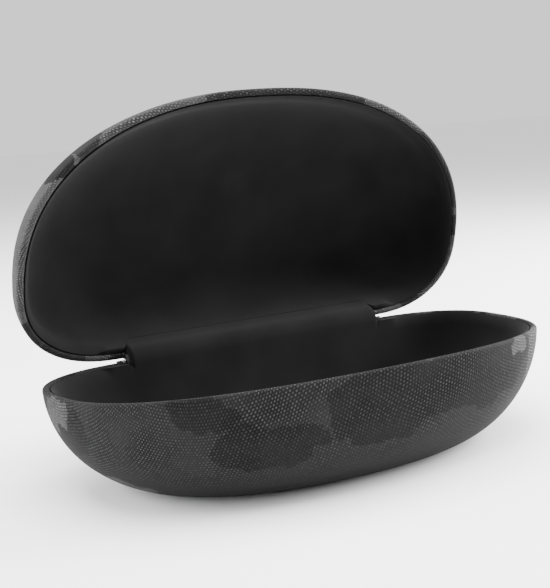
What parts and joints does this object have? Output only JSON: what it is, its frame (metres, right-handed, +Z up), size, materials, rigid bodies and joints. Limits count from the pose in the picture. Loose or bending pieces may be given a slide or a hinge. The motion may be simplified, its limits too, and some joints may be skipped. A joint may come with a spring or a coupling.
{
  "type": "eyeglasses case",
  "caption": "Hard clamshell eyeglasses case, oval from above, cloth-wrapped steel shells with a flocked lining, hinged along its back edge.",
  "frame": {"origin": "centre of the flat base, on the surface that the case stands on", "axes": "+X along the hinge to the case's right, -Y to the front where the case opens, +Z up"},
  "size_m": [0.165, 0.1081, 0.1151],
  "materials": {
    "wrap_cloth": "matte",
    "flocked_lining": "matte",
    "shell_steel": "satin",
    "hinge_steel": "satin",
    "backing_foam": "matte"
  },
  "bodies": {
    "base": {"lower_wrap": "wrap_cloth", "lower_shell": "shell_steel", "lower_pad": "backing_foam", "lower_lining": "flocked_lining", "lower_hinge_leaf": "hinge_steel", "lower_rivet_1": "hinge_steel", "lower_rivet_2": "hinge_steel", "lower_rivet_3": "hinge_steel", "lower_rivet_4": "hinge_steel", "hinge_pin": "hinge_steel", "snap_spring_left": "hinge_steel", "snap_spring_right": "hinge_steel", "wrap_spine": "wrap_cloth", "hinge_lining": "flocked_lining"},
    "lid": {"lid_wrap": "wrap_cloth", "lid_shell": "shell_steel", "lid_pad": "backing_foam", "lid_lining": "flocked_lining", "lid_hinge_leaf": "hinge_steel", "lid_rivet_1": "hinge_steel", "lid_rivet_2": "hinge_steel", "lid_rivet_3": "hinge_steel", "lid_rivet_4": "hinge_steel"}
  },
  "joints": [
    {"name": "lid_hinge", "type": "hinge", "parent": "base", "child": "lid", "pos_m": [0, 0.03632, 0.0325], "axis": [1, 0, 0], "range_deg": [0, 75], "deforming": ["wrap_spine", "hinge_lining", "snap_spring_left", "snap_spring_right"]}
  ]
}
